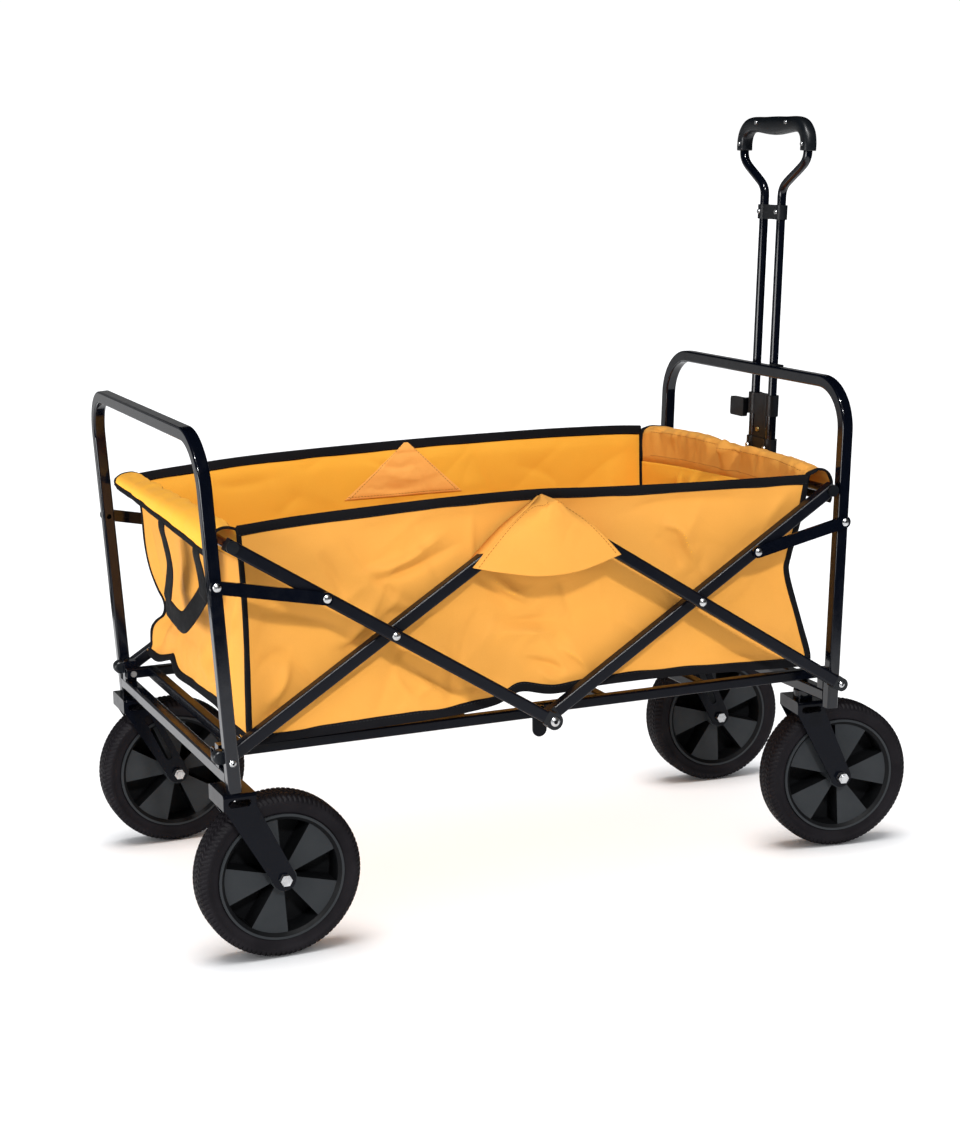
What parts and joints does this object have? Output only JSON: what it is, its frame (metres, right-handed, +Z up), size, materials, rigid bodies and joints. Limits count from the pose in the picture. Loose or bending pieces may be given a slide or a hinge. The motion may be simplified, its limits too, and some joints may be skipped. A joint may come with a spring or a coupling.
{
  "type": "folding utility wagon",
  "caption": "Folding pull wagon: crossed-link steel frame, open fabric basket, sliding pull handle, fixed rear wheels and swivel front casters.",
  "frame": {"origin": "on the ground, under the middle of the whole length and width", "axes": "+X along the length towards the pull handle, +Z up, -Y the side that faces the viewer in the picture"},
  "size_m": [0.9094, 0.495, 0.8763],
  "materials": {
    "frame_black": "gloss black powder coat",
    "steel": "bright zinc plate",
    "plastic_black": "moulded, fine grain",
    "wheel_grey": "moulded dark grey",
    "tyre_black": "moulded rubber with block tread",
    "fabric_orange": "coated plain weave",
    "webbing_black": "flat woven webbing"
  },
  "bodies": {
    "rear_frame": {"rear_u_frame": "frame_black", "rear_lower_frame": "frame_black", "rear_pivot_rivets": "steel", "rear_forks": "frame_black", "rear_axle_bolts": "steel"},
    "wheel_rear_near": {"wheel_rear_near_rim": "wheel_grey", "wheel_rear_near_tyre": "tyre_black"},
    "wheel_rear_far": {"wheel_rear_far_rim": "wheel_grey", "wheel_rear_far_tyre": "tyre_black"},
    "link_b_near": {"link_b_near": "frame_black"},
    "link_a_near": {"link_a_near": "frame_black", "link_a_near_rivets": "steel", "rear_hem_rod": "frame_black"},
    "link_c_near": {"link_c_near": "frame_black", "front_hem_rod": "frame_black"},
    "link_d_near": {"link_d_near": "frame_black", "link_d_near_rivets": "steel"},
    "link_b_far": {"link_b_far": "frame_black"},
    "link_a_far": {"link_a_far": "frame_black", "link_a_far_rivets": "steel"},
    "link_c_far": {"link_c_far": "frame_black"},
    "link_d_far": {"link_d_far": "frame_black", "link_d_far_rivets": "steel"},
    "front_frame": {"front_u_frame": "frame_black", "front_lower_frame": "frame_black", "front_pivot_rivets": "steel", "handle_lugs": "frame_black", "handle_clip": "plastic_black"},
    "caster_near": {"caster_near_fork": "frame_black", "caster_near_bolts": "steel"},
    "caster_far": {"caster_far_fork": "frame_black", "caster_far_bolts": "steel"},
    "wheel_front_near": {"wheel_front_near_rim": "wheel_grey", "wheel_front_near_tyre": "tyre_black"},
    "wheel_front_far": {"wheel_front_far_rim": "wheel_grey", "wheel_front_far_tyre": "tyre_black"},
    "brace_rear_near": {"brace_rear_near": "frame_black"},
    "brace_rear_far": {"brace_rear_far": "frame_black"},
    "brace_front_near": {"brace_front_near": "frame_black"},
    "brace_front_far": {"brace_front_far": "frame_black"},
    "floor_rear": {"floor_rear_frame": "frame_black", "floor_rear_pad": "fabric_orange"},
    "floor_front": {"floor_front_frame": "frame_black", "floor_front_pad": "fabric_orange"},
    "basket": {"fabric_side_near_rear": "fabric_orange", "fabric_side_far_rear": "fabric_orange", "fabric_rear_end": "fabric_orange", "fabric_pull_strap": "webbing_black"},
    "basket_front": {"fabric_side_near_front": "fabric_orange", "fabric_side_far_front": "fabric_orange", "fabric_front_end": "fabric_orange"},
    "handle_lower": {"handle_outer_tubes": "frame_black", "handle_lower_strap": "plastic_black", "handle_outer_rivets": "steel", "handle_clamp": "plastic_black"},
    "handle_lever": {"handle_lever": "plastic_black"},
    "handle_upper": {"handle_inner_tubes": "frame_black", "handle_upper_strap": "plastic_black", "handle_grip": "plastic_black", "handle_screws": "steel"}
  },
  "joints": [
    {"name": "fold", "type": "hinge", "parent": "rear_frame", "child": "link_b_near", "pos_m": [-0.41574, -0.2162, 0.223], "axis": [0, -1, 0], "range_deg": [0, 45.23], "deforming": ["fabric_side_near_rear", "fabric_side_far_rear", "fabric_side_near_front", "fabric_side_far_front"]},
    {"name": "link_a_near_turn", "type": "hinge", "parent": "link_b_near", "child": "link_a_near", "pos_m": [-0.23124, -0.231, 0.3395], "axis": [0, -1, 0], "range_deg": [-90.48, 0.02]},
    {"name": "link_c_near_turn", "type": "hinge", "parent": "link_a_near", "child": "link_c_near", "pos_m": [-0.04674, -0.2162, 0.223], "axis": [0, -1, 0], "range_deg": [-0.02, 90.48]},
    {"name": "link_d_near_turn", "type": "hinge", "parent": "link_c_near", "child": "link_d_near", "pos_m": [0.13776, -0.231, 0.3395], "axis": [0, -1, 0], "range_deg": [-90.48, 0.02]},
    {"name": "link_b_far_turn", "type": "hinge", "parent": "rear_frame", "child": "link_b_far", "pos_m": [-0.41574, 0.2162, 0.223], "axis": [0, -1, 0], "range_deg": [-0.02, 45.25]},
    {"name": "link_a_far_turn", "type": "hinge", "parent": "link_b_far", "child": "link_a_far", "pos_m": [-0.23124, 0.231, 0.3395], "axis": [0, -1, 0], "range_deg": [-90.48, 0.02]},
    {"name": "link_c_far_turn", "type": "hinge", "parent": "link_a_far", "child": "link_c_far", "pos_m": [-0.04674, 0.2162, 0.223], "axis": [0, -1, 0], "range_deg": [-0.02, 90.48]},
    {"name": "link_d_far_turn", "type": "hinge", "parent": "link_c_far", "child": "link_d_far", "pos_m": [0.13776, 0.231, 0.3395], "axis": [0, -1, 0], "range_deg": [-90.48, 0.02]},
    {"name": "front_frame_turn", "type": "hinge", "parent": "link_d_near", "child": "front_frame", "pos_m": [0.32226, -0.231, 0.223], "axis": [0, -1, 0], "range_deg": [-0.02, 45.25]},
    {"name": "brace_rear_near_turn", "type": "hinge", "parent": "rear_frame", "child": "brace_rear_near", "pos_m": [-0.42661, -0.2405, 0.41162], "axis": [0, -1, 0], "range_deg": [-0.02, 82.57]},
    {"name": "brace_front_near_turn", "type": "hinge", "parent": "front_frame", "child": "brace_front_near", "pos_m": [0.33024, -0.2257, 0.4133], "axis": [0, 1, 0], "range_deg": [-0.02, 84.73]},
    {"name": "brace_rear_far_turn", "type": "hinge", "parent": "rear_frame", "child": "brace_rear_far", "pos_m": [-0.42661, 0.2405, 0.41162], "axis": [0, -1, 0], "range_deg": [-0.02, 82.57]},
    {"name": "brace_front_far_turn", "type": "hinge", "parent": "front_frame", "child": "brace_front_far", "pos_m": [0.33024, 0.2257, 0.4133], "axis": [0, 1, 0], "range_deg": [-0.02, 84.73]},
    {"name": "floor_rear_turn", "type": "hinge", "parent": "rear_frame", "child": "floor_rear", "pos_m": [-0.41574, 0, 0.223], "axis": [0, -1, 0], "range_deg": [-0.02, 75.19]},
    {"name": "floor_front_turn", "type": "hinge", "parent": "front_frame", "child": "floor_front", "pos_m": [0.32226, 0, 0.223], "axis": [0, 1, 0], "range_deg": [-0.02, 75.19]},
    {"name": "basket_rise", "type": "slide", "parent": "rear_frame", "child": "basket", "axis": [0, 0, 1], "range_m": [-0.0001, 0.18909]},
    {"name": "basket_front_rise", "type": "slide", "parent": "front_frame", "child": "basket_front", "axis": [0, 0, 1], "range_m": [-0.0001, 0.18909]},
    {"name": "wheel_rear_near_spin", "type": "hinge", "parent": "rear_frame", "child": "wheel_rear_near", "pos_m": [-0.36474, -0.214, 0.09], "axis": [0, 1, 0], "continuous": true},
    {"name": "wheel_rear_far_spin", "type": "hinge", "parent": "rear_frame", "child": "wheel_rear_far", "pos_m": [-0.36474, 0.214, 0.09], "axis": [0, 1, 0], "continuous": true},
    {"name": "caster_near_swivel", "type": "hinge", "parent": "front_frame", "child": "caster_near", "pos_m": [0.32426, -0.15, 0.19], "axis": [0, 0, 1], "continuous": true},
    {"name": "wheel_front_near_spin", "type": "hinge", "parent": "caster_near", "child": "wheel_front_near", "pos_m": [0.36387, -0.15557, 0.09], "axis": [0.1392, 0.9903, 0], "continuous": true},
    {"name": "caster_far_swivel", "type": "hinge", "parent": "front_frame", "child": "caster_far", "pos_m": [0.32426, 0.15, 0.19], "axis": [0, 0, 1], "continuous": true},
    {"name": "wheel_front_far_spin", "type": "hinge", "parent": "caster_far", "child": "wheel_front_far", "pos_m": [0.36417, 0.14721, 0.09], "axis": [0.0698, 0.9976, 0], "continuous": true},
    {"name": "handle_lower_turn", "type": "hinge", "parent": "front_frame", "child": "handle_lower", "pos_m": [0.3398, 0, 0.212], "axis": [0, 1, 0], "range_deg": [0, 90]},
    {"name": "handle_slide", "type": "slide", "parent": "handle_lower", "child": "handle_upper", "axis": [0.0419, 0, 0.9991], "range_m": [-0.205, 0]},
    {"name": "clamp_lever_turn", "type": "hinge", "parent": "handle_lower", "child": "handle_lever", "pos_m": [0.35291, 0.0336, 0.52473], "axis": [-0.0419, 0, -0.9991], "range_deg": [0, 90]}
  ],
  "couplings": [
    {"joint": "link_a_near_turn", "follows": "fold", "ratio": -2},
    {"joint": "link_c_near_turn", "follows": "fold", "ratio": 2},
    {"joint": "link_d_near_turn", "follows": "fold", "ratio": -2},
    {"joint": "link_b_far_turn", "follows": "fold", "ratio": 1},
    {"joint": "link_a_far_turn", "follows": "fold", "ratio": -2},
    {"joint": "link_c_far_turn", "follows": "fold", "ratio": 2},
    {"joint": "link_d_far_turn", "follows": "fold", "ratio": -2},
    {"joint": "front_frame_turn", "follows": "fold", "ratio": 1},
    {"joint": "brace_rear_near_turn", "follows": "fold", "ratio": 1.8252},
    {"joint": "brace_front_near_turn", "follows": "fold", "ratio": 1.8728},
    {"joint": "brace_rear_far_turn", "follows": "fold", "ratio": 1.8252},
    {"joint": "brace_front_far_turn", "follows": "fold", "ratio": 1.8728},
    {"joint": "floor_rear_turn", "follows": "fold", "ratio": 1.6619},
    {"joint": "floor_front_turn", "follows": "fold", "ratio": 1.6619},
    {"joint": "basket_rise", "follows": "fold", "m_per_rad": 0.2394},
    {"joint": "basket_front_rise", "follows": "fold", "m_per_rad": 0.2394}
  ]
}
